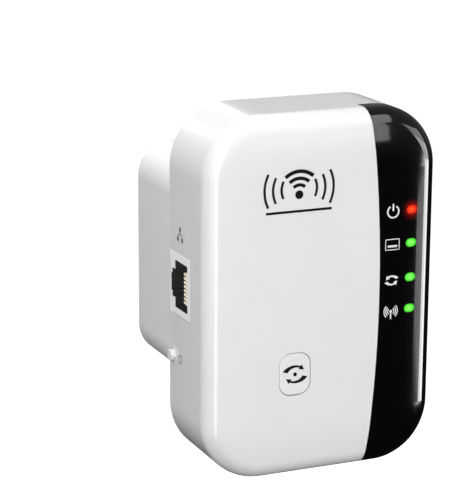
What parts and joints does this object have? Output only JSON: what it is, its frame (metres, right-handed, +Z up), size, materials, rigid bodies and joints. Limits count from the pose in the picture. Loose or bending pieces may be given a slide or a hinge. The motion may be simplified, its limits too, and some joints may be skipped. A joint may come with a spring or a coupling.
{
  "type": "wifi range extender",
  "caption": "Plug-in wireless range extender: rounded upright case with a dark curved light panel, a pairing button, a side network jack and flat plug blades on a rear boss.",
  "frame": {"origin": "centre of the boss's flat rear face, where it meets the wall socket", "axes": "+Y out of the rear face into the wall, so the front faces -Y; +Z up along the case's height; +X to the right of someone who looks at the front"},
  "size_m": [0.062, 0.0663, 0.09],
  "materials": {
    "case_white": "white moulded plastic with a fine satin gloss",
    "button_white": "white moulded plastic, slightly glossier than the case",
    "lens_black": "polished black acrylic",
    "clear_plastic": "clear moulded light guide, frosted at the tips",
    "black_plastic": "black engineering plastic",
    "led_lamp": "small surface lamps, the top one red and the others green",
    "jack_white": "white moulded jack shell",
    "gold_plating": "gold-plated contacts",
    "plated_steel": "tin-plated sheet steel",
    "switch_plastic": "dark switch plunger",
    "board_green": "green solder mask on glass-fibre laminate",
    "lead_jacket": "black jacket of a thin coaxial lead",
    "chip_black": "moulded black epoxy",
    "ferrite": "dark grey ferrite",
    "resistor_black": "thick-film chip resistors",
    "capacitor_tan": "tan multilayer ceramic",
    "screw_steel": "zinc-plated screws",
    "capacitor_sleeve": "dark blue shrink sleeve on aluminium cans",
    "winding_tape": "yellow polyester tape over the windings",
    "isolator_white": "off-white moulded package",
    "disc_blue": "blue dipped ceramic disc",
    "resistor_green": "green coated fusible resistor",
    "sheet_fibre": "pale fibre insulating sheet",
    "blade_plating": "nickel-plated brass blades",
    "spring_brass": "spring brass"
  },
  "bodies": {
    "case": {"antenna_connectors": "gold_plating", "blade_clips": "spring_brass", "blade_retainer": "black_plastic", "board_screws": "screw_steel", "bridge_rectifier": "chip_black", "ceramic_capacitors": "capacitor_tan", "chip_resistors": "resistor_black", "clock_crystal": "plated_steel", "coil_former": "black_plastic", "cover_screws": "screw_steel", "front_cover": "case_white", "fuse_resistor": "resistor_green", "input_capacitors": "capacitor_sleeve", "insulating_sheet": "sheet_fibre", "jack_contact_carrier": "black_plastic", "jack_contacts": "gold_plating", "jack_housing": "jack_white", "left_blade": "blade_plating", "lens_panel": "lens_black", "light_baffle": "black_plastic", "light_guide": "clear_plastic", "line_choke": "ferrite", "link_header": "black_plastic", "link_pins": "gold_plating", "lower_antenna": "board_green", "lower_antenna_lead": "lead_jacket", "main_board": "board_green", "memory_chip": "chip_black", "network_transformer": "chip_black", "output_capacitors": "capacitor_sleeve", "output_diode": "chip_black", "pairing_switch_body": "black_plastic", "pairing_switch_cover": "plated_steel", "power_board": "board_green", "power_controller": "chip_black", "power_inductor": "ferrite", "processor": "chip_black", "radio_shield": "plated_steel", "rear_cover": "case_white", "reset_switch_body": "black_plastic", "reset_switch_bracket": "plated_steel", "right_blade": "blade_plating", "signal_isolator": "isolator_white", "status_leds": "led_lamp", "suppression_capacitor": "disc_blue", "transformer_core": "ferrite", "transformer_winding": "winding_tape", "upper_antenna": "board_green", "upper_antenna_lead": "lead_jacket", "voltage_regulator": "chip_black"},
    "pairing_key": {"pairing_button": "button_white", "pairing_switch_plunger": "switch_plastic"},
    "reset_key": {"reset_button": "button_white", "reset_switch_plunger": "switch_plastic"}
  },
  "joints": [
    {"name": "pairing_press", "type": "slide", "parent": "case", "child": "pairing_key", "axis": [0, 1, 0], "range_m": [0, 0.0004], "stiffness_N_per_m": 4000},
    {"name": "reset_press", "type": "slide", "parent": "case", "child": "reset_key", "axis": [1, 0, 0], "range_m": [0, 0.0003], "stiffness_N_per_m": 4000}
  ]
}
